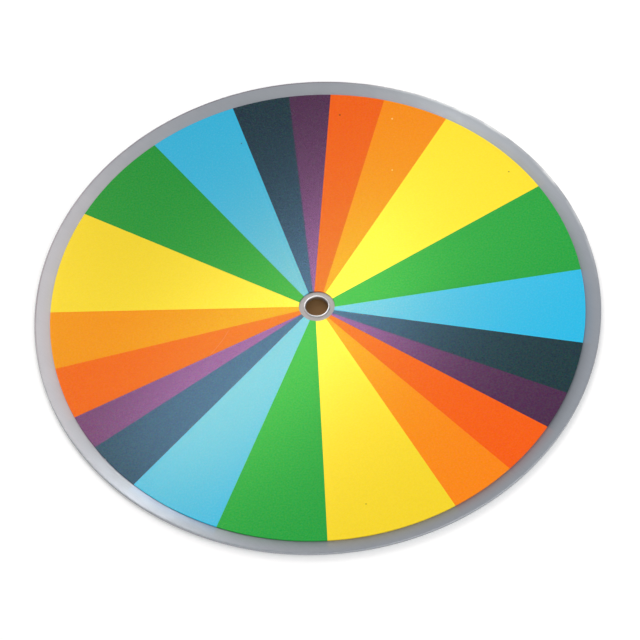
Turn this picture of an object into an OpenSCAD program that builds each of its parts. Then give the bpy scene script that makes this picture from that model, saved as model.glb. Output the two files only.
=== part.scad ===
// Newton disc for a lecture-bench rotator: an aluminium plate with a hub eyelet, and twenty-one
// coloured sheets cut by hand and glued to its face. Seven colours go round the plate three times.
// The origin is the bore's centre, on the plane that the disc lies on. +Z points out of the coloured face.
// Lengths are in millimetres. Angles are in degrees, anticlockwise from +X, seen from above.

/* [Plate] */
// Diameter of the aluminium plate
plate_d = 250; // [120:1:400]
// Thickness of the aluminium plate
plate_t = 1.5; // [1:0.1:4]
// Radius that breaks the two corners of the plate's outer edge
plate_edge_r = 0.3; // [0.1:0.05:0.45]

/* [Coloured sheets] */
// Thickness of the coloured sheets
sheet_t = 0.5; // [0.2:0.05:1]
// Width of the bare rim of plate that shows outside the sheets, taken as the mean all round
rim_w = 7; // [2:0.5:20]
// How far the sheets' outer circle was trimmed off the bore's centre, towards -Y
rim_shift = 1.1; // [0:0.1:1.5]
// Width of the bare ring of plate that shows between the eyelet's lip and the sheets
ring_w = 2.2; // [1:0.1:8]
// Direction of the first cut, where a green sheet starts
first_cut_angle = 5; // [0:0.5:20]
// Angle that each green sheet takes up at the rim
green_angle = 23.5; // [16:0.5:30]
// Angle that each yellow sheet takes up at the rim
yellow_angle = 27.5; // [20:0.5:34]
// Angle that each orange sheet takes up at the rim
orange_angle = 14.5; // [8:0.5:20]
// Angle that each red sheet takes up at the rim
red_angle = 12.5; // [8:0.5:18]
// Angle that each violet sheet takes up at the rim
violet_angle = 9.5; // [6:0.5:16]
// Angle that each indigo sheet takes up at the rim
indigo_angle = 12.5; // [8:0.5:18]
// Narrowest tip that a sheet can have at the hub
tip_w = 0.2; // [0.1:0.05:0.4]

/* [Hub eyelet] */
// Diameter of the bore that the rotator's shaft passes through
bore_d = 10; // [6:0.5:25]
// Thickness of the metal that the eyelet is drawn from
eyelet_t = 0.35; // [0.2:0.05:0.6]
// Width of the eyelet's flange behind the plate, outside its barrel
flange_w = 2.65; // [1:0.05:8]
// Height of the rolled lip's straight leg, from the plate's face to where the roll starts
lip_leg = 0.15; // [0.05:0.05:0.6]
// Gap between the eyelet's barrel and the hole in the plate
barrel_clearance = 0.05; // [0:0.01:0.15]

/* [Hidden] */
$fn = 192;

// Colours in the order that they follow each other, anticlockwise
COLOURS = ["green", "yellow", "orange", "red", "violet", "indigo", "blue"];
SHADES = ["#2fae3a", "#ffe92e", "#f7931e", "#f26522", "#6b3f72", "#2c4354", "#35bff0"];

// The sheets are cut along a rule by eye, so no cut keeps quite to the drawing.
// These are the slips of each cut's outer and inner end, in degrees, one row for each time round.
rim_slip = [
    [-1.1, -0.6, -0.2, 0.3, 0, -0.1, 0.4],
    [0.4, 0.7, 0, 0.1, 0.7, -0.1, -0.1],
    [0.2, -0.2, -0.3, -0.6, -0.3, -0.5, 0]
];
hub_slip = [
    [-13.5, -3.5, 1, -6.5, 11, 6.5, 8.5],
    [8.5, 12, 1.5, 2.5, 4.5, -4.5, -5],
    [-1, -5.5, 1, -6, -5.5, -7, -6.5]
];

turns = len(rim_slip);
colour_count = len(COLOURS);
sheet_count = turns * colour_count;

// Radii from the bore outwards
bore_r = bore_d / 2;
barrel_r = bore_r + eyelet_t;
plate_hole_r = barrel_r + barrel_clearance;
lip_r = barrel_r + eyelet_t;
flange_r = barrel_r + flange_w;
sheet_hole_r = lip_r + ring_w;
sheet_r = plate_d / 2 - rim_w;
plate_r = plate_d / 2;

// Heights from the resting plane upwards
plate_z = eyelet_t;
face_z = plate_z + plate_t;
roll_z = face_z + lip_leg;

// Blue takes up what the six other colours leave of its share of the circle
sheet_angles = [green_angle, yellow_angle, orange_angle, red_angle, violet_angle, indigo_angle];
function sum_to(n) = n <= 0 ? 0 : sheet_angles[n - 1] + sum_to(n - 1);
function colour_of(cut) = cut % colour_count;
function turn_of(cut) = floor(cut / colour_count);
function drawn(cut) = first_cut_angle + 360 / turns * turn_of(cut) + sum_to(colour_of(cut));

// How far the cuts run past the hub's circle and past the rim's before those are trimmed
hub_overrun = 0.3;
rim_overrun = sheet_r / 5;

// Where a cut really meets the rim end and the hub end of the sheets.
// A tip is held to its least width, so that two cuts never cross.
tip_turn = 2 * asin(tip_w / 2 / sheet_hole_r);
function rim_end(cut) = cut >= sheet_count
    ? rim_end(cut - sheet_count) + 360
    : drawn(cut) + rim_slip[turn_of(cut)][colour_of(cut)];
function slipped(cut) = drawn(cut) + hub_slip[turn_of(cut)][colour_of(cut)];
function hub_end(cut) = cut >= sheet_count
    ? hub_end(cut - sheet_count) + 360
    : cut == 0 ? slipped(0) : max(slipped(cut), hub_end(cut - 1) + tip_turn);

function sheet_name(cut) = str(COLOURS[colour_of(cut)], "_sheet_", turn_of(cut) + 1);
function on_circle(r, a) = [r * cos(a), r * sin(a)];
// The point that lies further than b by a length, on the line from a through b
function past(a, b, length) = b + (b - a) / norm(b - a) * length;

// The plate's section, from its hole to its rim, with the rim's two corners rounded
module plate_section() {
    translate([plate_hole_r, 0]) square([plate_r - plate_edge_r - plate_hole_r, plate_t]);
    translate([plate_hole_r, plate_edge_r]) square([plate_r - plate_hole_r, plate_t - 2 * plate_edge_r]);
    for (z = [plate_edge_r, plate_t - plate_edge_r])
        translate([plate_r - plate_edge_r, z]) circle(r = plate_edge_r);
}

module plate() {
    color("#b4b8bc")
        translate([0, 0, plate_z]) rotate_extrude() plate_section();
}

// The eyelet's section: a flange with a round edge, a bend, the barrel, and a lip rolled over the plate
module eyelet_section() {
    translate([barrel_r, 0]) square([flange_w - eyelet_t / 2, eyelet_t]);
    translate([flange_r - eyelet_t / 2, eyelet_t / 2]) circle(d = eyelet_t);
    intersection() {
        translate([barrel_r, eyelet_t]) circle(r = eyelet_t);
        translate([bore_r, 0]) square(eyelet_t);
    }
    translate([bore_r, eyelet_t]) square([eyelet_t, roll_z - eyelet_t]);
    translate([barrel_r, face_z]) square([eyelet_t, lip_leg]);
    intersection() {
        translate([barrel_r, roll_z]) circle(r = eyelet_t);
        translate([bore_r, roll_z]) square([2 * eyelet_t, eyelet_t]);
    }
}

module hub_eyelet() {
    color("#c8cbce")
        rotate_extrude() eyelet_section();
}

// One coloured sheet, between its own cut and the next one.
// Both cuts run past the sheet's ends, and the rim's and the hub's circles trim it.
// The hub's circle is round the bore, but the rim's was struck a little off centre.
module sheet(cut) {
    rim = [on_circle(sheet_r, rim_end(cut)), on_circle(sheet_r, rim_end(cut + 1))];
    hub = [on_circle(sheet_hole_r, hub_end(cut)), on_circle(sheet_hole_r, hub_end(cut + 1))];
    color(SHADES[colour_of(cut)])
        translate([0, 0, face_z]) difference() {
            intersection() {
                translate([0, -rim_shift, 0]) cylinder(r = sheet_r, h = sheet_t);
                linear_extrude(sheet_t) polygon([
                    past(rim[0], hub[0], hub_overrun), past(hub[0], rim[0], rim_overrun),
                    past(hub[1], rim[1], rim_overrun), past(rim[1], hub[1], hub_overrun)
                ]);
            }
            translate([0, 0, -sheet_t]) cylinder(r = sheet_hole_r, h = 3 * sheet_t);
        }
}

plate();
hub_eyelet();
for (cut = [0 : sheet_count - 1])
    sheet(cut);
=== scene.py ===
# %% [markdown]
# # A newton disc, dressed for the camera
# The real object is a flat aluminium plate, 250 mm across, for a hand-cranked rotator. A metal
# eyelet lines its bore, and wedges of coloured plastic sheet are glued to its face, seven colours
# three times round. Spun fast, the colours blend to near white.
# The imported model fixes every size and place. This script gives each piece a finer mesh where the
# packed one is coarse, and a material that is worked out from how the real surface was made.
# Everything is in metres, with +Z up out of the coloured face and +X to the right.

# %% Load the frame
import math

import bpy
import numpy as np
from mathutils import Matrix, Vector


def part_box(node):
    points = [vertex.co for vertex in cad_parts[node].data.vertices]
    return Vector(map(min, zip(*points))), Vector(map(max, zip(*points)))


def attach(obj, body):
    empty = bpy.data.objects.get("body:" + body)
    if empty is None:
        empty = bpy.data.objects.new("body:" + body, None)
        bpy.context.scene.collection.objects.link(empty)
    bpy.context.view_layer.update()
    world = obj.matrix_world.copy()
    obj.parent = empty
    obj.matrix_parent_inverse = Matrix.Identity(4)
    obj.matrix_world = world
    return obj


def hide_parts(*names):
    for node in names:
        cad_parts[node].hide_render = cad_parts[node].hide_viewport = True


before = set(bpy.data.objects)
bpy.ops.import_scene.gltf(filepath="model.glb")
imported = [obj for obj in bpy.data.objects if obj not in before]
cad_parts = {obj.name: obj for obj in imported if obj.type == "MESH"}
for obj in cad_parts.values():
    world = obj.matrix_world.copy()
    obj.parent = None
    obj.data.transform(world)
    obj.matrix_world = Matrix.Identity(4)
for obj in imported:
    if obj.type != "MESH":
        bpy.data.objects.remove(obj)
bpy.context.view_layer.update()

MM = 0.001

# %% [markdown]
# ## Sizes that the frame gives
# The plate, the eyelet and every coloured sheet already have their size and place in the frame.
# These could be typed in again, but a change to the model would then leave this script behind, so
# the pieces below take their radii, heights and cuts from the frame's own meshes.

# %% Read the sizes from the frame
plate_low, plate_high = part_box("plate")
_, eyelet_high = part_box("hub_eyelet")
sheet_nodes = sorted(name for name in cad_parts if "_sheet_" in name)
sheet_low, sheet_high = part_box(sheet_nodes[0])

PLATE_R = plate_high.x
BACK_Z, FACE_Z = plate_low.z, plate_high.z
SHEET_T = sheet_high.z - sheet_low.z
FLANGE_R = eyelet_high.x
BORE = (0.0, 0.0)


def points_of(name):
    """A node's corner points as rows of x, y, z."""
    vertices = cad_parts[name].data.vertices
    points = np.empty(len(vertices) * 3, np.float32)
    vertices.foreach_get("co", points)
    return points.reshape(-1, 3).astype(float)


def radii_of(points, centre=BORE):
    """How far each point lies from an upright axis, which is the bore's unless another is given."""
    return np.hypot(points[:, 0] - centre[0], points[:, 1] - centre[1])


BORE_R = float(radii_of(points_of("hub_eyelet")).min())
PLATE_HOLE_R = float(radii_of(points_of("plate")).min())
sheet_points = np.vstack([points_of(name) for name in sheet_nodes])
SHEET_HOLE_R = float(radii_of(sheet_points).min())
RIM_CENTRE = tuple((sheet_points.min(axis=0) + sheet_points.max(axis=0))[:2] / 2)
SHEET_R = float(radii_of(sheet_points, RIM_CENTRE).max())
print("radii, mm: bore %.2f, plate hole %.2f, sheets %.2f to %.2f, plate %.2f"
      % tuple(r / MM for r in (BORE_R, PLATE_HOLE_R, SHEET_HOLE_R, SHEET_R, PLATE_R)))
print("the sheets' outer circle is %.2f, %.2f mm off the bore" % tuple(c / MM for c in RIM_CENTRE))

# %% [markdown]
# ## Helpers for node trees
# A colour is written as the sRGB hex that a picture editor shows, and one function turns it to
# the linear values that Blender's sockets hold. A second function adds any node, sets its
# properties and fills its inputs, so that a whole material reads as a short list. Many nodes
# have several inputs under one name, one for each kind of value, and show only the one that
# suits their settings, so a name here stands for the one in use.
# The third makes a soft band round a value. Thin lines, rings, specks and nicks are all bands.

# %% Colour and node helpers
def linear(hex_colour):
    """An sRGB hex colour as linear red, green, blue and an alpha of 1."""
    channels = [int(hex_colour[i:i + 2], 16) / 255 for i in (1, 3, 5)]
    return [c / 12.92 if c <= 0.04045 else ((c + 0.055) / 1.055) ** 2.4 for c in channels] + [1.0]


def add(tree, kind, inputs=None, **settings):
    """Adds a node, sets its properties, and fills its inputs, which are given by name or number.
    An input takes a value, an output, or a node, which stands for its first output in use."""
    node = tree.nodes.new(kind)
    for key, value in settings.items():
        setattr(node, key, value)
    for key, value in (inputs or {}).items():
        if isinstance(key, str):
            key = next(i for i, s in enumerate(node.inputs) if s.name == key and s.enabled)
        if isinstance(value, bpy.types.Node):
            value = next(s for s in value.outputs if s.enabled)
        if isinstance(value, bpy.types.NodeSocket):
            tree.links.new(value, node.inputs[key])
        else:
            node.inputs[key].default_value = value
    return node


def band(tree, value, middle, full, none, top=1.0):
    """The top value as far as "full" from the middle on both sides, fading to 0 at "none"."""
    off = add(tree, "ShaderNodeMath", {0: value, 1: middle}, operation="SUBTRACT")
    size = add(tree, "ShaderNodeMath", {0: off}, operation="ABSOLUTE")
    return add(tree, "ShaderNodeMapRange", {"Value": size, "From Min": full, "From Max": none,
                                            "To Min": top, "To Max": 0.0})


def new_material(name):
    """A new material, and its node tree with nothing in it."""
    material = bpy.data.materials.new(name)
    material.use_nodes = True
    material.node_tree.nodes.clear()
    return material, material.node_tree


print("mid grey #808080 is %.3f in linear values" % linear("#808080")[0])

# %% [markdown]
# ## The camera
# A camera could be set up by eye, but a flat round object gives its own view away. Its outline in
# the photograph is an ellipse: the ratio of the axes gives the elevation, and the bore's place off
# the ellipse's centre gives the distance. The right side stands a little high, which is the
# camera's roll.

# %% Camera
PICTURE_PX = 640
SENSOR_MM = 36.0
FOCAL_PX = 3415
CLIP_START = 0.05
CAMERA_DISTANCE = 1.502
CAMERA_ELEVATION = math.radians(56.32)
CAMERA_ROLL = math.radians(-4.69)
CAMERA_AIM = Vector((0.9 * MM, -7.2 * MM, FACE_Z))

camera_data = bpy.data.cameras.new("camera")
camera_data.sensor_width = SENSOR_MM
camera_data.lens = SENSOR_MM * FOCAL_PX / PICTURE_PX
camera_data.clip_start = CLIP_START
camera = bpy.data.objects.new("camera", camera_data)
bpy.context.scene.collection.objects.link(camera)
back = Vector((0, -math.cos(CAMERA_ELEVATION), math.sin(CAMERA_ELEVATION)))
turn_up = Matrix.Rotation(math.pi / 2 - CAMERA_ELEVATION, 4, "X")
turn_roll = Matrix.Rotation(CAMERA_ROLL, 4, "Z")
stand = Matrix.Translation(CAMERA_AIM + back * CAMERA_DISTANCE)
camera.matrix_world = stand @ turn_up @ turn_roll
bpy.context.scene.camera = camera
bpy.context.scene.view_settings.view_transform = "Standard"
print("camera: lens %.0f mm at %.2f m" % (camera_data.lens, CAMERA_DISTANCE))

# %% [markdown]
# ## The stage
# The disc lies on a plain white floor. Stronger lamps would turn any pale floor white, but they
# would wash out the colours too. So the floor's own colour stays below white, where it still takes
# a shadow, and a little glow lifts it that only the camera and mirror-like surfaces see.
# A small patch of brown tabletop under the hub is what shows through the bore.

# %% Floor
FLOOR_SIDE = 2.4
FLOOR_COLOUR = "#ececec"
FLOOR_GLOW = 0.19


def flat_piece(name, corners, material):
    """A single flat face through the corners, as a new object."""
    mesh = bpy.data.meshes.new(name)
    mesh.from_pydata(corners, [], [list(range(len(corners)))])
    mesh.materials.append(material)
    piece = bpy.data.objects.new(name, mesh)
    bpy.context.scene.collection.objects.link(piece)
    return piece


def seen_straight(tree):
    """1 for camera, mirror and glass rays, and 0 for the rays that light the scene."""
    ray = add(tree, "ShaderNodeLightPath").outputs
    either = add(tree, "ShaderNodeMath", {0: ray["Is Camera Ray"], 1: ray["Is Glossy Ray"]},
                 operation="MAXIMUM")
    return add(tree, "ShaderNodeMath", {0: either, 1: ray["Is Transmission Ray"]},
               operation="MAXIMUM")


def floor_material():
    """White card whose lit part reaches white in the picture and keeps its shadow."""
    material, tree = new_material("white_card_floor")
    card = add(tree, "ShaderNodeBsdfDiffuse", {"Color": linear(FLOOR_COLOUR)})
    strength = add(tree, "ShaderNodeMath", {0: seen_straight(tree), 1: FLOOR_GLOW},
                   operation="MULTIPLY")
    glow = add(tree, "ShaderNodeEmission", {"Color": linear("#ffffff"), "Strength": strength})
    both = add(tree, "ShaderNodeAddShader", {0: card, 1: glow})
    add(tree, "ShaderNodeOutputMaterial", {"Surface": both})
    return material


half = FLOOR_SIDE / 2
floor_corners = [(-half, -half, 0), (half, -half, 0), (half, half, 0), (-half, half, 0)]
floor = flat_piece("floor", floor_corners, floor_material())
print("floor: %.1f m square" % FLOOR_SIDE)

# %% Tabletop patch
PATCH_R = 14 * MM
PATCH_SIDES = 64
# Just enough to lie over the floor's face and not in it
PATCH_LIFT = 0.02 * MM
WOOD_DARK, WOOD_LIGHT = "#684b2a", "#765834"
WOOD_GRAIN = 4.5 * MM
WOOD_ROUGHNESS = 0.7
WOOD_GLOSS = 0.2


def tabletop_material():
    """Dull brown wood, seen only through the bore."""
    material, tree = new_material("brown_tabletop")
    grain = add(tree, "ShaderNodeTexNoise", {"Scale": 1 / WOOD_GRAIN, "Detail": 3.0})
    tone = add(tree, "ShaderNodeMix",
               {"Factor": grain, "A": linear(WOOD_DARK), "B": linear(WOOD_LIGHT)}, data_type="RGBA")
    wood = add(tree, "ShaderNodeBsdfPrincipled",
               {"Base Color": tone, "Roughness": WOOD_ROUGHNESS, "Specular IOR Level": WOOD_GLOSS})
    add(tree, "ShaderNodeOutputMaterial", {"Surface": wood})
    return material


ring = [2 * math.pi * i / PATCH_SIDES for i in range(PATCH_SIDES)]
patch_corners = [(PATCH_R * math.cos(a), PATCH_R * math.sin(a), PATCH_LIFT) for a in ring]
patch = flat_piece("tabletop_patch", patch_corners, tabletop_material())
print("tabletop patch: %.0f mm across" % (2 * PATCH_R / MM))

# %% [markdown]
# ## The light
# A single sun lamp would light the colours, but a glossy disc also shows what hangs round it, so
# the light comes from rectangles with a size and a place, as in a photographer's studio.
# One large soft box stands low behind the disc, a little to the left. It gives the colours their
# main level and throws the short shadow under the near edge. A box overhead and the even room
# give most of the rest. Two pale walls in front and near on the left light what faces the camera
# from the side: the plate's outer edge, the sheets' cut edges and the eyelet's lip. They are
# large and dim, because small bright ones would glare on the disc when it is seen low from behind.
# A long narrow box hangs where the disc mirrors it to the camera, so that it lies on the face as
# a soft streak through the hub, and a wider, dimmer one round it gives the streak its skirt.
# Pale cards to the left, beyond and to the right are what those sides of the bare rim mirror.
# To the camera itself the room is plain white, so that the floor's end shows from no side.

# %% Lamps
def soft_box(name, place, width, height, radiance, colour, target=(0, 0, 0), turn=0.0):
    """A rectangular lamp that faces a target, and is then turned by some degrees about +Z.
    Its power is worked out from the brightness of its face, where 1 would look white."""
    data = bpy.data.lights.new(name, "AREA")
    data.shape = "RECTANGLE"
    data.size, data.size_y = width, height
    data.energy = radiance * math.pi * width * height
    data.color = linear(colour)[:3]
    lamp = bpy.data.objects.new(name, data)
    lamp.visible_camera = False
    bpy.context.scene.collection.objects.link(lamp)
    place, target = Vector(place), Vector(target)
    towards = (target - place).to_track_quat("-Z", "Y").to_matrix().to_4x4()
    turned_round = Matrix.Rotation(math.radians(turn), 4, "Z")
    lamp.matrix_world = Matrix.Translation(place) @ turned_round @ towards
    return lamp


def level_box(name, place, width, depth, radiance, colour, turn=0.0):
    """A soft box that hangs level and shines straight down."""
    below = (place[0], place[1], 0)
    return soft_box(name, place, width, depth, radiance, colour, below, turn)


# Each row: name, place, width and height in metres, brightness, colour, and turn in degrees
lamps = [
    soft_box("low_back_box", (-0.51, 2.03, 1.01), 2.1, 1.04, 6.8, "#fffdfa"),
    soft_box("overhead_box", (0.28, -0.16, 0.50), 0.5, 0.5, 1.6, "#ffffff"),
    soft_box("front_wall", (0.53, -1.10, 0.42), 2.0, 0.7, 1.37, "#ffffff"),
    soft_box("near_left_wall", (-0.90, -0.85, 0.42), 1.6, 0.7, 1.6, "#ffffff"),
    level_box("streak_box", (-0.041, 0.627, 1.0), 0.295, 0.05, 15.5, "#f0f6fa", 41),
    level_box("skirt_box", (0.035, 0.710, 1.02), 0.365, 0.20, 1.55, "#fffcf6", 37),
    level_box("left_card", (-0.42, 0.75, 1.0), 0.45, 0.6, 3.0, "#ffece3"),
    level_box("far_card", (-0.11, 0.890, 1.0), 0.16, 0.12, 0.35, "#d4ebff"),
    level_box("right_card", (0.33, 0.62, 1.0), 0.30, 0.40, 0.3, "#c4deff"),
]
print("lamps:", len(lamps), "with %.1f W in all" % sum(lamp.data.energy for lamp in lamps))

# %% Room
ROOM_LIGHT = 0.22
ROOM_TINT = "#f4f7fb"

world = bpy.data.worlds.new("room")
bpy.context.scene.world = world
world.use_nodes = True
sky = world.node_tree
sky.nodes.clear()
to_camera = add(sky, "ShaderNodeLightPath").outputs["Is Camera Ray"]
level = add(sky, "ShaderNodeMix", {"Factor": to_camera, "A": ROOM_LIGHT, "B": 1.0})
tint = add(sky, "ShaderNodeMix",
           {"Factor": to_camera, "A": linear(ROOM_TINT), "B": linear("#ffffff")}, data_type="RGBA")
room = add(sky, "ShaderNodeBackground", {"Color": tint, "Strength": level})
add(sky, "ShaderNodeOutputWorld", {"Surface": room})
print("room light:", ROOM_LIGHT)

# %% [markdown]
# ## A lathe
# The plate and the eyelet are round all the way, so one section swept round the bore's axis makes
# either. A Screw modifier could sweep it, but a short function that lays one section after
# another keeps full control of the roundings, which stay narrow next to wide flat faces.

# %% A lathe for sections
# Edges where the surface turns by more than this stay sharp in the shading
SHARP_ANGLE = math.radians(40)


def arc(centre, radius, start, end, steps):
    """Points of an arc in the section's plane, angles in degrees."""
    angles = [math.radians(start + (end - start) * i / steps) for i in range(steps + 1)]
    return [(centre[0] + radius * math.cos(a), centre[1] + radius * math.sin(a)) for a in angles]


def turned(name, section, sides):
    """A closed solid: the section's loop of (radius, height) points swept round the axis."""
    count = len(section)
    angles = [2 * math.pi * side / sides for side in range(sides)]
    points = [(r * math.cos(a), r * math.sin(a), height) for a in angles for r, height in section]
    faces = []
    for side in range(sides):
        here, there = side * count, (side + 1) % sides * count
        for number in range(count):
            following = (number + 1) % count
            faces.append((here + number, there + number, there + following, here + following))
    mesh = bpy.data.meshes.new(name)
    mesh.from_pydata(points, [], faces)
    mesh.validate()
    mesh.polygons.foreach_set("use_smooth", [True] * len(mesh.polygons))
    mesh.set_sharp_from_angle(angle=SHARP_ANGLE)
    piece = bpy.data.objects.new(name, mesh)
    bpy.context.scene.collection.objects.link(piece)
    return piece


# %% Measure a piece and put it in place
def volume_of(piece):
    """The volume inside a closed mesh, which is positive when its faces point outwards."""
    mesh = piece.data
    mesh.calc_loop_triangles()
    total = 0.0
    for triangle in mesh.loop_triangles:
        a, b, c = (mesh.vertices[i].co for i in triangle.vertices)
        total += a.dot(b.cross(c)) / 6
    return total


def finish_piece(piece, node, material):
    """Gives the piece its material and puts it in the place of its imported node."""
    piece.data.materials.clear()
    piece.data.materials.append(material)
    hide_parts(node)
    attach(piece, "root")
    return piece


# %% [markdown]
# ## The plate's finish
# Aluminium sheet, 1.5 mm thick, blanked to a circle. Its face keeps the finish of the rolling mill:
# fine lines all one way, which stretch a reflection across them. A picture of rolled metal could
# be laid on the face, but a noise that is drawn out one way has no seam and keeps its real size.
# The lines run from the upper left to the lower right here. Real ones are a few hundredths of a
# millimetre apart, too fine to show, so they are drawn 0.15 mm apart.
# The thin dull oxide on old aluminium scatters part of the light as paint does, which Metallic
# below 1 gives, and it lies in broad clouds that change the shine a little.
# Round the hub the eyelet's setting tool turned against the plate, so that ring carries fine round
# marks and a warm stain, and shines less.

# %% Rolling lines and tool marks
ROLLING_DIRECTION = math.radians(135)
LINE_WIDTH = 0.15 * MM
LINE_LENGTH = 9 * MM
TOOL_R = 9 * MM
TOOL_FADE = 2 * MM
TOOL_LINE = 0.3 * MM


def rolling_lines(tree, place):
    """A noise that is drawn out along the rolling direction."""
    # A Mapping node scales before it turns, so the point is turned in one and scaled in the next
    lined_up = add(tree, "ShaderNodeMapping",
                   {"Vector": place, "Rotation": (0, 0, -ROLLING_DIRECTION)})
    stretch = (1 / LINE_LENGTH, 1 / LINE_WIDTH, 1 / LINE_WIDTH)
    drawn_out = add(tree, "ShaderNodeMapping", {"Vector": lined_up, "Scale": stretch})
    return add(tree, "ShaderNodeTexNoise", {"Vector": drawn_out, "Scale": 1.0, "Detail": 2.0})


def tool_rings(tree, reach):
    """A noise that changes only with the distance from the bore."""
    steps = add(tree, "ShaderNodeMath", {0: reach, 1: TOOL_LINE}, operation="DIVIDE")
    return add(tree, "ShaderNodeTexNoise", {"W": steps, "Scale": 1.0, "Detail": 2.0},
               noise_dimensions="1D")


def tooled_share(tree, reach):
    """1 on the ring that the tool rubbed, and 0 outside it."""
    return add(tree, "ShaderNodeMapRange",
               {"Value": reach, "From Min": TOOL_R, "From Max": TOOL_R + TOOL_FADE,
                "To Min": 1.0, "To Max": 0.0})


print("rolling lines: %.2f mm apart, %.0f mm long" % (LINE_WIDTH / MM, LINE_LENGTH / MM))

# %% [markdown]
# ## Painted light and shade on the rim
# The bare rim has three painted marks of light and shade, and each is strongest on one side of the
# disc. A painted highlight leaves the outermost edge paler at the upper right, in patches. A thin
# painted shade line darkens the rounded outer corner on the left. A painted coloured shadow darkens
# the rim beside the sheets with a tint of each sheet's colour, most of all on the near side.
# They could be painted by hand on an unwrapped mesh. Worked out from a point's distance from the
# bore and its direction, they stay sharp in any close view and can be moved by one number.

# %% Painted light and shade on the rim
# Painted highlight: the outermost edge at the upper right is made paler, in patches
PAINTED_HIGHLIGHT_EDGE = 1.6 * MM
PAINTED_HIGHLIGHT_PATCH = 11.1 * MM
PAINTED_HIGHLIGHT_CONTRAST = (0.3, 0.6)
PAINTED_HIGHLIGHT_SIDE = math.radians(40)
# A thin painted shade line on the rounded outer corner, on the left side
PAINTED_SHADE_LINE_INSET = 0.5 * MM
PAINTED_SHADE_LINE_WIDTH = 0.45 * MM
PAINTED_SHADE_LINE_SIDE = math.radians(130)
# Painted coloured shadow beside the sheets: darker and tinted, strongest on the near side
PAINTED_SHADOW_WIDTH = 5.2 * MM
PAINTED_SHADOW_CURVE = 1.5
PAINTED_SHADOW_SHARE = 0.50
PAINTED_SHADOW_SIDE = math.radians(290)
# How far round a mark reaches: where it starts and where it is whole. On the rim 1 is the mark's
# own side, 0 is a quarter turn from it and -1 is opposite.
PAINTED_HIGHLIGHT_SPREAD = (0.75, 0.95)
PAINTED_SHADE_LINE_SPREAD = (0.45, 0.70)
PAINTED_SHADOW_SPREAD = (-1.0, 1.0)


def on_side(tree, place, heading, spread, share=1.0):
    """The share of a mark that a point gets for lying on the mark's side of the disc."""
    side = (math.cos(heading) / PLATE_R, math.sin(heading) / PLATE_R, 0)
    towards = add(tree, "ShaderNodeVectorMath", {0: place, 1: side}, operation="DOT_PRODUCT")
    return add(tree, "ShaderNodeMapRange", {"Value": towards, "From Min": spread[0],
                                            "From Max": spread[1], "To Max": share})


def painted_highlight_share(tree, place, reach):
    """1 where the outermost edge gets its painted highlight."""
    edge = add(tree, "ShaderNodeMapRange",
               {"Value": reach, "From Min": PLATE_R - PAINTED_HIGHLIGHT_EDGE, "From Max": PLATE_R})
    uneven = add(tree, "ShaderNodeTexNoise",
                 {"Vector": place, "Scale": 1 / PAINTED_HIGHLIGHT_PATCH, "Detail": 4.0})
    patches = add(tree, "ShaderNodeMapRange",
                  {"Value": uneven, "From Min": PAINTED_HIGHLIGHT_CONTRAST[0], "From Max": PAINTED_HIGHLIGHT_CONTRAST[1]})
    edge_highlight = add(tree, "ShaderNodeMath", {0: edge, 1: patches}, operation="MULTIPLY")
    highlight_side = on_side(tree, place, PAINTED_HIGHLIGHT_SIDE, PAINTED_HIGHLIGHT_SPREAD)
    return add(tree, "ShaderNodeMath", {0: edge_highlight, 1: highlight_side}, operation="MULTIPLY")


def painted_shade_line_share(tree, place, reach):
    """1 in the middle of the painted shade line along the rounded outer corner."""
    line = band(tree, reach, PLATE_R - PAINTED_SHADE_LINE_INSET, 0.0, PAINTED_SHADE_LINE_WIDTH)
    there = on_side(tree, place, PAINTED_SHADE_LINE_SIDE, PAINTED_SHADE_LINE_SPREAD)
    return add(tree, "ShaderNodeMath", {0: line, 1: there}, operation="MULTIPLY")


def painted_shadow_share(tree, place, flat):
    """How much painted coloured shadow a point gets: most at the sheets' outer edge, none a few
    millimetres off.
    """
    span = add(tree, "ShaderNodeVectorMath", {0: flat, 1: (*RIM_CENTRE, 0)}, operation="DISTANCE")
    near = band(tree, span, SHEET_R, 0.0, PAINTED_SHADOW_WIDTH)
    fade = add(tree, "ShaderNodeMath", {0: near, 1: PAINTED_SHADOW_CURVE}, operation="POWER")
    side = on_side(tree, place, PAINTED_SHADOW_SIDE, PAINTED_SHADOW_SPREAD, PAINTED_SHADOW_SHARE)
    return add(tree, "ShaderNodeMath", {0: fade, 1: side}, operation="MULTIPLY")


print("bare rim: %.1f mm wide on the near side, %.1f mm on the far one"
      % ((PLATE_R - SHEET_R + RIM_CENTRE[1]) / MM, (PLATE_R - SHEET_R - RIM_CENTRE[1]) / MM))

# %% Plate material
METAL_DARK, METAL_LIGHT = "#999da3", "#a3a7ad"
STAIN = "#f0e1d6"
PAINTED_HIGHLIGHT_TONE = "#f0f1f0"
PAINTED_SHADE_LINE_TONE = "#c4b8bc"
OXIDE_SHINE = 0.36
CLOUD_SIZE = 25 * MM
MILL_ROUGHNESS = (0.12, 0.16)
# What the tool's marks add to the roughness
TOOL_ROUGHENING = 0.16
LINE_DEPTH = 0.02 * MM


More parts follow.
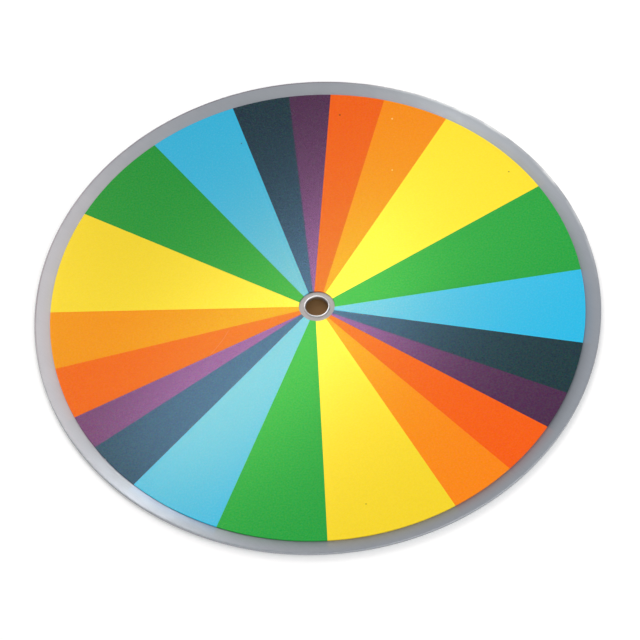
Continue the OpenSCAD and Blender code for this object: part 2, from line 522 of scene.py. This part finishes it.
def plate_material():
    """Mill-finish aluminium sheet: satin metal whose rolling lines smear a reflection sideways."""
    material, tree = new_material("mill_finish_aluminium")
    place = add(tree, "ShaderNodeTexCoord").outputs["Object"]
    flat = add(tree, "ShaderNodeVectorMath", {0: place, 1: (1, 1, 0)}, operation="MULTIPLY")
    reach = add(tree, "ShaderNodeVectorMath", {0: flat}, operation="LENGTH")
    lines, rings = rolling_lines(tree, place), tool_rings(tree, reach)
    tooled = tooled_share(tree, reach)

    tone = add(tree, "ShaderNodeMix",
               {"Factor": lines, "A": linear(METAL_DARK), "B": linear(METAL_LIGHT)},
               data_type="RGBA")
    tone = add(tree, "ShaderNodeMix", {"Factor": tooled, "A": tone, "B": linear(STAIN)},
               data_type="RGBA", blend_type="MULTIPLY")
    # Painted highlight on the outermost edge at the upper right
    tone = add(tree, "ShaderNodeMix",
               {"Factor": painted_highlight_share(tree, place, reach), "A": tone, "B": linear(PAINTED_HIGHLIGHT_TONE)},
               data_type="RGBA")
    # Painted shade line on the rounded outer corner at the left
    tone = add(tree, "ShaderNodeMix",
               {"Factor": painted_shade_line_share(tree, place, reach), "A": tone, "B": linear(PAINTED_SHADE_LINE_TONE)},
               data_type="RGBA", blend_type="MULTIPLY")
    # Painted coloured shadow: the rim beside the sheets darkened with each sheet's colour
    shadow_tint = add(tree, "ShaderNodeAttribute", attribute_name="sheet_shadow_tint").outputs["Vector"]
    tone = add(tree, "ShaderNodeMix",
               {"Factor": painted_shadow_share(tree, place, flat), "A": tone, "B": shadow_tint},
               data_type="RGBA", blend_type="MULTIPLY")

    cloud = add(tree, "ShaderNodeTexNoise",
                {"Vector": place, "Scale": 1 / CLOUD_SIZE, "Detail": 4.0})
    rough = add(tree, "ShaderNodeMapRange",
                {"Value": cloud, "To Min": MILL_ROUGHNESS[0], "To Max": MILL_ROUGHNESS[1]})
    rough = add(tree, "ShaderNodeMath", {0: tooled, 1: TOOL_ROUGHENING, 2: rough},
                operation="MULTIPLY_ADD")
    marks = add(tree, "ShaderNodeMix", {"Factor": tooled, "A": lines, "B": rings})
    bump = add(tree, "ShaderNodeBump", {"Height": marks, "Distance": LINE_DEPTH})
    metal = add(tree, "ShaderNodeBsdfPrincipled",
                {"Base Color": tone, "Metallic": OXIDE_SHINE, "Roughness": rough, "Normal": bump})
    add(tree, "ShaderNodeOutputMaterial", {"Surface": metal})
    return material


plate_finish = plate_material()
print("plate finish:", len(plate_finish.node_tree.nodes), "nodes")

# %% [markdown]
# ## The plate
# A cylinder with a bevel would do, but the lathe gives the hole, the faces and the two broken
# corners of the rim from one section. A point just inside each corner keeps the smooth shading of
# the rounding from spreading over the flat faces.

# %% Plate
CORNER_R = 0.3 * MM
CORNER_STEPS = 6
SUPPORT = 0.05 * MM
PLATE_SIDES = 720

flat_r = PLATE_R - CORNER_R
plate_section = [(PLATE_HOLE_R, BACK_Z), (flat_r - SUPPORT, BACK_Z)]
plate_section += arc((flat_r, BACK_Z + CORNER_R), CORNER_R, -90, 0, CORNER_STEPS)
plate_section += arc((flat_r, FACE_Z - CORNER_R), CORNER_R, 0, 90, CORNER_STEPS)
plate_section += [(flat_r - SUPPORT, FACE_Z), (PLATE_HOLE_R, FACE_Z)]
plate_piece = turned("aluminium_plate", plate_section, PLATE_SIDES)
finish_piece(plate_piece, "plate", plate_finish)
print("plate: %d faces, %.1f cm3" % (len(plate_piece.data.polygons), volume_of(plate_piece) * 1e6))

# %% [markdown]
# ## The eyelet
# It is drawn from thin bright sheet: a flange behind the plate, a barrel through it, and an end
# that a tool rolled over the plate's face. A ring on a tube would show a seam where the real metal
# is all one piece, so one section holds flange, barrel and roll, and the roll is half a circle.
# The tool left the metal bright but not mirror smooth, so its roughness changes a little from
# place to place.

# %% Eyelet material
EYELET_TONE = "#d2d3d5"
ROLLED_ROUGHNESS = (0.34, 0.46)
WEAR_SIZE = 1.1 * MM


def eyelet_material():
    """Bright drawn aluminium, polished unevenly by the rolling tool."""
    material, tree = new_material("bright_drawn_aluminium")
    place = add(tree, "ShaderNodeTexCoord").outputs["Object"]
    wear = add(tree, "ShaderNodeTexNoise",
               {"Vector": place, "Scale": 1 / WEAR_SIZE, "Detail": 3.0})
    rough = add(tree, "ShaderNodeMapRange",
                {"Value": wear, "To Min": ROLLED_ROUGHNESS[0], "To Max": ROLLED_ROUGHNESS[1]})
    metal = add(tree, "ShaderNodeBsdfPrincipled",
                {"Base Color": linear(EYELET_TONE), "Metallic": 1.0, "Roughness": rough})
    add(tree, "ShaderNodeOutputMaterial", {"Surface": metal})
    return material


eyelet_finish = eyelet_material()
print("eyelet finish:", len(eyelet_finish.node_tree.nodes), "nodes")

# %% Eyelet
# The plate lies on the flange, so its back is as high as the eyelet's metal is thick
EYELET_T = BACK_Z
BARREL_R = BORE_R + EYELET_T
ROLL_Z = eyelet_high.z - EYELET_T
FLANGE_EDGE_R = EYELET_T / 2
EYELET_SIDES = 256
EDGE_STEPS = 8
ROLL_STEPS = 16

eyelet_section = arc((BARREL_R, EYELET_T), EYELET_T, 180, 270, EDGE_STEPS)
eyelet_section += arc((FLANGE_R - FLANGE_EDGE_R, FLANGE_EDGE_R), FLANGE_EDGE_R, -90, 90, EDGE_STEPS)
eyelet_section += [(BARREL_R, EYELET_T), (BARREL_R, FACE_Z), (BARREL_R + EYELET_T, FACE_Z)]
eyelet_section += arc((BARREL_R, ROLL_Z), EYELET_T, 0, 180, ROLL_STEPS)
eyelet_piece = turned("eyelet", eyelet_section, EYELET_SIDES)
finish_piece(eyelet_piece, "hub_eyelet", eyelet_finish)
print("eyelet: %d faces, %.1f mm3"
      % (len(eyelet_piece.data.polygons), volume_of(eyelet_piece) * 1e9))

# %% [markdown]
# ## The coloured sheets
# Each wedge runs from a short arc at the hub to a long arc at the rim, between two straight cuts.
# Twenty-one meshes could be drawn one by one, but the shape is a rule, so one Geometry Nodes tree
# makes them all: it bends a grid between the two arcs, lifts it to the sheet's thickness and
# closes it. Its inputs are the arcs' radii and centres, where the cuts meet each arc, and the
# thickness, and each wedge gets its own numbers from the frame. A small nick in the rim edge has
# two inputs as well, because one sheet was cut carelessly.

# %% The arcs that a wedge runs between
NICK_HALF = math.radians(0.25)
ARC_INPUTS = ("radius", "start", "end")


def arc_point(tree, given, where, across):
    """The point on the hub's or the rim's arc, some way across from the first cut to the last."""
    angle = add(tree, "ShaderNodeMix", {"Factor": across, "A": given[where + " start"],
                                        "B": given[where + " end"]})
    x = add(tree, "ShaderNodeMath", {0: angle}, operation="COSINE")
    y = add(tree, "ShaderNodeMath", {0: angle}, operation="SINE")
    unit = add(tree, "ShaderNodeCombineXYZ", {"X": x, "Y": y})
    radius = given[where + " radius"]
    if where == "Rim":
        # A nick is a short dip in the radius: deepest at its own angle, none beyond its half width
        dip = band(tree, angle, given["Nick angle"], 0.0, NICK_HALF, given["Nick depth"])
        radius = add(tree, "ShaderNodeMath", {0: radius, 1: dip}, operation="SUBTRACT")
    spoke = add(tree, "ShaderNodeVectorMath", {0: unit, "Scale": radius}, operation="SCALE")
    return add(tree, "ShaderNodeVectorMath", {0: spoke, 1: given[where + " centre"]},
               operation="ADD")


# %% The wedge tree
ACROSS_STEPS = 60
ALONG_STEPS = 12
MERGE_DISTANCE = 0.001 * MM


def wedge_tree():
    """Node tree that makes one coloured sheet as a closed solid."""
    tree = bpy.data.node_groups.new("coloured_wedge", "GeometryNodeTree")
    sockets = [(where + " " + size, "Float") for where in ("Hub", "Rim") for size in ARC_INPUTS]
    sockets += [("Hub centre", "Vector"), ("Rim centre", "Vector"), ("Nick angle", "Float"),
                ("Nick depth", "Float"), ("Floor", "Float"), ("Thickness", "Float"),
                ("Finish", "Material")]
    for name, kind in sockets:
        tree.interface.new_socket(name, in_out="INPUT", socket_type="NodeSocket" + kind)
    tree.interface.new_socket("Geometry", in_out="OUTPUT", socket_type="NodeSocketGeometry")

    # A grid one unit wide, whose points say how far along and across the wedge they belong
    given = add(tree, "NodeGroupInput").outputs
    grid = add(tree, "GeometryNodeMeshGrid",
               {"Size X": 1.0, "Size Y": 1.0, "Vertices X": ALONG_STEPS + 1,
                "Vertices Y": ACROSS_STEPS + 1})
    spot = add(tree, "ShaderNodeSeparateXYZ", {0: add(tree, "GeometryNodeInputPosition")}).outputs
    along = add(tree, "ShaderNodeMath", {0: spot["X"], 1: 0.5}, operation="ADD")
    across = add(tree, "ShaderNodeMath", {0: spot["Y"], 1: 0.5}, operation="ADD")
    flat = add(tree, "ShaderNodeMix",
               {"Factor": along, "A": arc_point(tree, given, "Hub", across),
                "B": arc_point(tree, given, "Rim", across)}, data_type="VECTOR")
    base = add(tree, "ShaderNodeCombineXYZ", {"Z": given["Floor"]})
    laid = add(tree, "ShaderNodeVectorMath", {0: flat, 1: base}, operation="ADD")
    bent = add(tree, "GeometryNodeSetPosition", {"Geometry": grid, "Position": laid})

    # The bent face is pushed up to the thickness, and a flipped copy of it closes the underside
    lift = add(tree, "ShaderNodeCombineXYZ", {"Z": given["Thickness"]})
    raised = add(tree, "GeometryNodeExtrudeMesh",
                 {"Mesh": bent, "Offset": lift, "Individual": False}, mode="FACES")
    under = add(tree, "GeometryNodeFlipFaces", {"Mesh": bent})
    both = add(tree, "GeometryNodeJoinGeometry", {0: raised})
    tree.links.new(under.outputs[0], both.inputs[0])
    closed = add(tree, "GeometryNodeMergeByDistance",
                 {"Geometry": both, "Distance": MERGE_DISTANCE})
    real = add(tree, "GeometryNodeRealizeInstances", {"Geometry": closed})
    painted = add(tree, "GeometryNodeSetMaterial", {"Geometry": real, "Material": given["Finish"]})
    add(tree, "NodeGroupOutput", {"Geometry": painted})
    return tree


WEDGE = wedge_tree()
SOCKET_ID = {item.name: item.identifier for item in WEDGE.interface.items_tree}
print("wedge tree:", len(WEDGE.nodes), "nodes,", len(SOCKET_ID) - 1, "inputs")

# %% [markdown]
# ## The sheets' finish
# Coloured sheet with a pearly lacquer on its face. The pigment goes all through and is a little
# uneven, which shows as faint mottle about 1 mm across. Tiny flecks of other colours lie in it,
# and the face has a very fine pebble. Both are too fine to show, so they are drawn 0.8 mm and
# 0.6 mm across.
# The lacquer holds flakes in the sheet's own colour, so a reflection on it takes that colour:
# violet's is violet and blue's is greenish. A clear coat would keep every reflection white, so the
# gloss is the shader's own, with a specular tint.
# Each sheet is painted a little lighter or darker by how the light falls across the disc, darker at
# the top and upper left and lighter on the right: painted light and shade. A material for each
# would do, but one for each colour is easier to change, so a sheet keeps its painted level as an
# attribute of its mesh.
# A few specks of dust and one long curved scratch lie on the sheets, where the real ones have
# them.

# %% Sheet colours
# The body's colour in plain light, and the colour of the lacquer's gloss
SHEET_COLOURS = {
    "green": ("#22923e", "#6ccb45"),
    "yellow": ("#efcf2a", "#fff765"),
    "orange": ("#f57e1c", "#65d427"),
    "red": ("#ee5a19", "#598e30"),
    "violet": ("#351e32", "#e89ee2"),
    "indigo": ("#192b27", "#79a4cb"),
    "blue": ("#0cb0de", "#c2bc45"),
}
# Painted light and shade: how light each sheet's body is made next to its colour's mean, first,
# second and third time round
SHEET_PAINTED_LIGHT = {
    "green": (1.12, 0.84, 1.10),
    "yellow": (1.12, 0.92, 1.03),
    "orange": (0.99, 0.98, 1.03),
    "red": (0.96, 1.00, 1.02),
    "violet": (0.72, 1.00, 1.30),
    "indigo": (0.68, 1.20, 1.20),
    "blue": (0.90, 1.03, 1.06),
}
print("colours:", ", ".join(SHEET_COLOURS))

# %% Marks of use
# Specks: x, y and radius in millimetres, and the speck's colour
SPECKS = {
    "red": [(17.6, 104.0, 0.45, "#7a2a16")],
    "orange": [(41.3, 99.4, 0.4, "#ffc98a"), (39.0, 70.5, 0.35, "#ffc98a")],
    "blue": [(-28.2, 92.4, 0.4, "#0a4f6c")],
    "yellow": [(14.0, -102.9, 0.4, "#b89c24"), (91.3, 64.3, 0.4, "#9a7c20")],
}
# A speck is solid to the first of these shares of its radius, and gone at the second
SPECK_SOLID, SPECK_GONE = 0.4, 1.3
# The scratch is an arc: its centre, radius, middle, half length and width, all in millimetres
SCRATCH_CENTRE, SCRATCH_R = (-85.6, 15.6), 52.3
SCRATCH_MIDDLE, SCRATCH_HALF = (-43.4, -15.2), 8.0
SCRATCH_W = 0.14
SCRATCH_COLOUR = "#ef7050"
# The share of its length over which the scratch keeps its strength
SCRATCH_EVEN = 0.8


def nearness(tree, place, spot, full, none, ring=0.0):
    """1 near a spot on the sheets, or near a ring round it, and 0 further out, in millimetres."""
    centre = (spot[0] * MM, spot[1] * MM, FACE_Z + SHEET_T)
    apart = add(tree, "ShaderNodeVectorMath", {0: place, 1: centre}, operation="DISTANCE")
    return band(tree, apart, ring * MM, full * MM, none * MM)


def with_marks(tree, place, colour, tone):
    """The sheet's colour with its specks of dust, and the red sheets' one scratch."""
    for x, y, radius, dust in SPECKS.get(colour, []):
        cover = nearness(tree, place, (x, y), SPECK_SOLID * radius, SPECK_GONE * radius)
        tone = add(tree, "ShaderNodeMix", {"Factor": cover, "A": tone, "B": linear(dust)},
                   data_type="RGBA")
    if colour == "red":
        line = nearness(tree, place, SCRATCH_CENTRE, SCRATCH_W / 2, SCRATCH_W, SCRATCH_R)
        within = nearness(tree, place, SCRATCH_MIDDLE, SCRATCH_EVEN * SCRATCH_HALF, SCRATCH_HALF)
        cover = add(tree, "ShaderNodeMath", {0: line, 1: within}, operation="MULTIPLY")
        tone = add(tree, "ShaderNodeMix",
                   {"Factor": cover, "A": tone, "B": linear(SCRATCH_COLOUR)}, data_type="RGBA")
    return tone


print("specks:", sum(len(specks) for specks in SPECKS.values()))

# %% Sheet material
MOTTLE_SIZE = 1.0 * MM
MOTTLE_CONTRAST = (0.3, 0.7)
MOTTLE_SWING = 0.015
FLECK_SIZE = 0.8 * MM
FLECK_SHARE = 0.028
PEBBLE_SIZE = 0.6 * MM
PEBBLE_DEPTH = 0.004 * MM
PEBBLE_STRENGTH = 0.6
LACQUER_ROUGHNESS = 0.18
LACQUER_IOR = 1.53


def pigment(tree, place, body):
    """The body's colour with each sheet's painted light and shade, its mottle and its flecks."""
    mottle = add(tree, "ShaderNodeTexNoise",
                 {"Vector": place, "Scale": 1 / MOTTLE_SIZE, "Detail": 2.0})
    swing = add(tree, "ShaderNodeMapRange",
                {"Value": mottle, "From Min": MOTTLE_CONTRAST[0], "From Max": MOTTLE_CONTRAST[1],
                 "To Min": 1 - MOTTLE_SWING, "To Max": 1 + MOTTLE_SWING})
    # Each sheet's painted light and shade, stored on its mesh
    painted_level = add(tree, "ShaderNodeAttribute", attribute_name="sheet_shade").outputs["Fac"]
    level = add(tree, "ShaderNodeMath", {0: swing, 1: painted_level}, operation="MULTIPLY")
    tone = add(tree, "ShaderNodeHueSaturation", {"Color": linear(body), "Value": level})
    flecks = add(tree, "ShaderNodeTexNoise",
                 {"Vector": place, "Scale": 1 / FLECK_SIZE, "Detail": 1.0}).outputs["Color"]
    return add(tree, "ShaderNodeMix", {"Factor": FLECK_SHARE, "A": tone, "B": flecks},
               data_type="RGBA", blend_type="LINEAR_LIGHT")


def sheet_material(colour):
    """Coloured sheet under a pearly lacquer, in one of the seven colours."""
    body, lustre = SHEET_COLOURS[colour]
    material, tree = new_material(colour + "_lacquered_sheet")
    place = add(tree, "ShaderNodeTexCoord").outputs["Object"]
    tone = with_marks(tree, place, colour, pigment(tree, place, body))
    pebble = add(tree, "ShaderNodeTexNoise",
                 {"Vector": place, "Scale": 1 / PEBBLE_SIZE, "Detail": 1.0})
    bump = add(tree, "ShaderNodeBump",
               {"Height": pebble, "Distance": PEBBLE_DEPTH, "Strength": PEBBLE_STRENGTH})
    lacquer = add(tree, "ShaderNodeBsdfPrincipled",
                  {"Base Color": tone, "Roughness": LACQUER_ROUGHNESS, "IOR": LACQUER_IOR,
                   "Specular IOR Level": 1.0, "Specular Tint": linear(lustre), "Normal": bump})
    add(tree, "ShaderNodeOutputMaterial", {"Surface": lacquer})
    return material


finishes = {colour: sheet_material(colour) for colour in SHEET_COLOURS}
print("finishes:", ", ".join(material.name for material in finishes.values()))

# %% [markdown]
# ## Cutting the sheets
# The real sheets were cut along a rule by eye, so no two are quite alike. Their cuts could be
# listed here, but the frame already has them, as the angles at which they meet the hub's arc and
# the rim's. A modifier on a blank object runs the wedge tree with those angles, a tiny bevel takes
# the sharpness off the cut edges, and the result is kept as a plain mesh.

# %% Find the cuts
ARC_BAND = 0.2 * MM


def colour_of(name):
    """The colour in a sheet's name, such as red in red_sheet_2."""
    return name.split("_")[0]


def cuts_of(name):
    """Where a sheet's two cuts meet its hub arc and its rim arc, as angles, first and last."""
    points = points_of(name)
    middle = points.mean(axis=0)
    heading = math.atan2(middle[1], middle[0])
    found = []
    for centre, radius in ((BORE, SHEET_HOLE_R), (RIM_CENTRE, SHEET_R)):
        angles = np.arctan2(points[:, 1] - centre[1], points[:, 0] - centre[0]) - heading
        angles = (angles + math.pi) % (2 * math.pi) - math.pi
        near = angles[np.abs(radii_of(points, centre) - radius) < ARC_BAND]
        found += [heading + near.min(), heading + near.max()]
    return found


print("%s is cut from %.1f to %.1f degrees at the rim"
      % (sheet_nodes[0], *(math.degrees(a) for a in cuts_of(sheet_nodes[0])[2:])))

# %% Cut the sheets
# The nicked sheet: the nick's direction round the rim's centre in degrees, and its depth
NICKS = {"indigo_sheet_2": (-144.34, 0.7 * MM)}
SOFT_EDGE = 0.008 * MM
SOFT_STEPS = 2
SOFT_ANGLE = math.radians(60)


def wedge_inputs(name):
    """The wedge tree's inputs for one sheet."""
    hub_start, hub_end, rim_start, rim_end = cuts_of(name)
    nick_angle, nick_depth = NICKS.get(name, (0.0, 0.0))
    return {"Hub radius": SHEET_HOLE_R, "Hub start": hub_start, "Hub end": hub_end,
            "Rim radius": SHEET_R, "Rim start": rim_start, "Rim end": rim_end,
            "Hub centre": (*BORE, 0.0), "Rim centre": (*RIM_CENTRE, 0.0),
            "Nick angle": math.radians(nick_angle), "Nick depth": nick_depth,
            "Floor": FACE_Z, "Thickness": SHEET_T, "Finish": finishes[colour_of(name)]}


def store_painted_light(mesh, name):
    """Writes the sheet's painted light and shade, how light it is next to its colour's mean, to
    every point.
    """
    turn = int(name.split("_")[-1])
    painted_level = SHEET_PAINTED_LIGHT[colour_of(name)][turn - 1]
    layer = mesh.attributes.new("sheet_shade", "FLOAT", "POINT")
    layer.data.foreach_set("value", [painted_level] * len(mesh.vertices))


def cut_sheet(name):
    """One coloured sheet, made by the wedge tree and softened along its edges."""
    piece = bpy.data.objects.new(name + "_cut", bpy.data.meshes.new(name + "_blank"))
    bpy.context.scene.collection.objects.link(piece)
    maker = piece.modifiers.new("wedge", "NODES")
    maker.node_group = WEDGE
    for key, value in wedge_inputs(name).items():
        maker[SOCKET_ID[key]] = value
    edge = piece.modifiers.new("soft_edge", "BEVEL")
    edge.width, edge.segments = SOFT_EDGE, SOFT_STEPS
    edge.limit_method, edge.angle_limit = "ANGLE", SOFT_ANGLE
    edge.use_clamp_overlap = True
    made = piece.evaluated_get(bpy.context.evaluated_depsgraph_get())
    mesh = bpy.data.meshes.new_from_object(made)
    piece.modifiers.clear()
    piece.data = mesh
    mesh.name = name + "_cut"
    store_painted_light(mesh, name)
    return finish_piece(piece, name, finishes[colour_of(name)])


sheets = [cut_sheet(name) for name in sheet_nodes]
print("sheets:", len(sheets), "made,", sum(len(s.data.polygons) for s in sheets), "faces,",
      "%.2f cm3" % (sum(volume_of(s) for s in sheets) * 1e6))

# %% [markdown]
# ## A painted coloured shadow on the bare rim
# Beside each sheet the rim is painted a little darker, with a tint of the sheet's colour that fades
# out towards the plate's edge: a painted coloured shadow. The plate's material could find the
# colour by itself, with a long chain of nodes for the twenty-one directions. It is simpler that
# each point of the plate's mesh stores the colour of the sheet in its direction as an attribute,
# which the material reads.

# %% Store the painted shadow's colour on the plate
def store_shadow_tint(piece):
    """Writes the colour of the sheet in each point's direction, for the painted coloured shadow, to
    an attribute.
    """
    vertices = piece.data.vertices
    headings = np.array([math.atan2(v.co.y - RIM_CENTRE[1], v.co.x - RIM_CENTRE[0])
                         for v in vertices])
    shadow_tint = np.ones((len(vertices), 3))
    for name in sheet_nodes:
        start, end = cuts_of(name)[2:]
        inside = (headings - start) % (2 * math.pi) < end - start
        body = SHEET_COLOURS[colour_of(name)][0]
        shadow_tint[inside] = linear(body)[:3]
    layer = piece.data.attributes.new("sheet_shadow_tint", "FLOAT_VECTOR", "POINT")
    layer.data.foreach_set("vector", shadow_tint.ravel())
    return int((shadow_tint.min(axis=1) < 1).sum())


print("dye stored on", store_shadow_tint(plate_piece), "of", len(plate_piece.data.vertices), "points")
